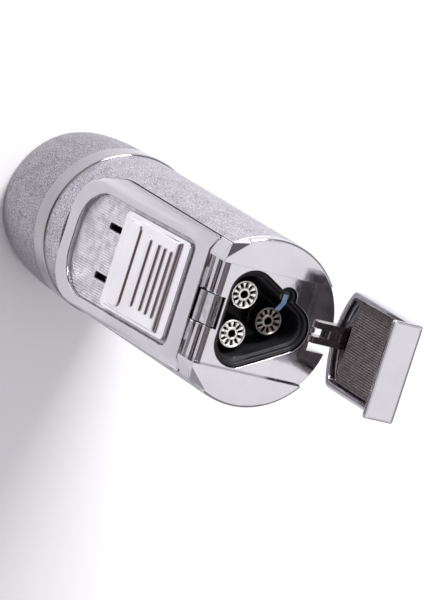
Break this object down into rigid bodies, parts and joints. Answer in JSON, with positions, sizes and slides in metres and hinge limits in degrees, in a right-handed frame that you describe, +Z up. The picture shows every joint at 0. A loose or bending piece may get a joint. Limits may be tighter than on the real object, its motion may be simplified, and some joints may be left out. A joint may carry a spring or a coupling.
{
  "type": "triple jet torch lighter",
  "caption": "Pocket butane torch lighter: tubular metal body, slanted slide button, recessed gas jets and a sprung flip lid on a rear hinge.",
  "frame": {"origin": "centre of the base's flat underside", "axes": "+Z up the body from the base to the head, +X to the right seen from the front, -Y the front with the slide button, +Y the back with the lid's hinge"},
  "size_m": [0.0286, 0.034, 0.0908],
  "materials": {
    "stonewashed_gunmetal": "mottled stonewashed gunmetal, satin",
    "polished_nickel": "polished, warm grey",
    "dark_nickel": "polished, dark",
    "rough_nickel": "fine grained, half polished",
    "patterned_steel": "fine square pattern",
    "plain_steel": "turned",
    "spring_wire": "drawn wire",
    "zinc_casting": "die-cast, dull",
    "tank_plastic": "translucent white",
    "black_rubber": "matte",
    "valve_brass": "turned",
    "black_plastic": "moulded, matte",
    "lead_sheath": "soft sheath",
    "gas_tube_plastic": "translucent",
    "jet_steel": "bright, turned",
    "burnt_steel": "heat-darkened",
    "ceramic": "glazed",
    "blued_steel": "heat-blued"
  },
  "bodies": {
    "case": {"base_cup": "stonewashed_gunmetal", "outer_shell": "stonewashed_gunmetal", "band_ring": "polished_nickel", "front_frame": "polished_nickel", "head_block": "polished_nickel", "track_plate": "patterned_steel", "base_screws": "plain_steel", "chassis_screws": "plain_steel", "lid_spring": "spring_wire", "lever_pin": "plain_steel", "hinge_pin": "plain_steel", "fuel_tank": "tank_plastic", "tank_lid": "tank_plastic", "tank_seal": "black_rubber", "fill_valve": "valve_brass", "gas_valve": "valve_brass", "jet_manifold": "valve_brass", "inner_chassis": "black_plastic", "piezo_body": "black_plastic", "burner_insert": "black_plastic", "piezo_lead": "lead_sheath", "gas_tube": "gas_tube_plastic", "jet_left": "jet_steel", "jet_right": "jet_steel", "jet_rear": "burnt_steel", "electrode_insulator": "ceramic", "electrode_tip": "blued_steel"},
    "lid": {"lid_shell": "polished_nickel", "lid_arm": "dark_nickel", "lid_mesh": "patterned_steel"},
    "slider": {"slider_button": "polished_nickel", "slider_carriage": "zinc_casting"},
    "latch": {"latch_tab": "rough_nickel"},
    "plunger": {"piezo_plunger": "black_plastic", "piezo_spring": "spring_wire"},
    "lever": {"valve_lever": "plain_steel"},
    "stem": {"valve_stem": "plain_steel"},
    "adjuster": {"adjuster_dial": "zinc_casting"},
    "filler": {"fill_stem": "plain_steel", "fill_spring": "spring_wire"}
  },
  "joints": [
    {"name": "lid_hinge", "type": "hinge", "parent": "case", "child": "lid", "pos_m": [0, 0.0126, 0.069], "axis": [1, 0, 0], "range_deg": [0, 90], "stiffness_Nm_per_rad": 0.006, "springref_deg": -20.05},
    {"name": "slide_button", "type": "slide", "parent": "case", "child": "slider", "axis": [0, -0.1101, -0.9939], "range_m": [0, 0.0055], "stiffness_N_per_m": 500, "springref_m": -0.003},
    {"name": "latch_drop", "type": "slide", "parent": "case", "child": "latch", "axis": [0, 0, -1], "range_m": [0, 0.0007]},
    {"name": "piezo_press", "type": "slide", "parent": "case", "child": "plunger", "axis": [0, 0, -1], "range_m": [0, 0.0055], "deforming": ["piezo_spring"]},
    {"name": "lever_pivot", "type": "hinge", "parent": "case", "child": "lever", "pos_m": [0.0045, 0.003, 0.042], "axis": [1, 0, 0], "range_deg": [0, 8.1]},
    {"name": "stem_lift", "type": "slide", "parent": "case", "child": "stem", "axis": [0, 0, 1], "range_m": [0, 0.0009]},
    {"name": "adjuster_turn", "type": "hinge", "parent": "case", "child": "adjuster", "pos_m": [0, 0.0056, 0.001], "axis": [0, 0, 1], "range_deg": [-150, 150]},
    {"name": "filler_press", "type": "slide", "parent": "case", "child": "filler", "axis": [0, 0, 1], "range_m": [0, 0.0012], "stiffness_N_per_m": 300, "springref_m": -0.0015, "deforming": ["fill_spring"]}
  ],
  "couplings": [
    {"joint": "latch_drop", "follows": "slide_button", "ratio": 0.12727},
    {"joint": "piezo_press", "follows": "slide_button", "ratio": 0.99392},
    {"joint": "lever_pivot", "follows": "slide_button", "rad_per_m": 25.38},
    {"joint": "stem_lift", "follows": "slide_button", "ratio": 0.1636}
  ]
}
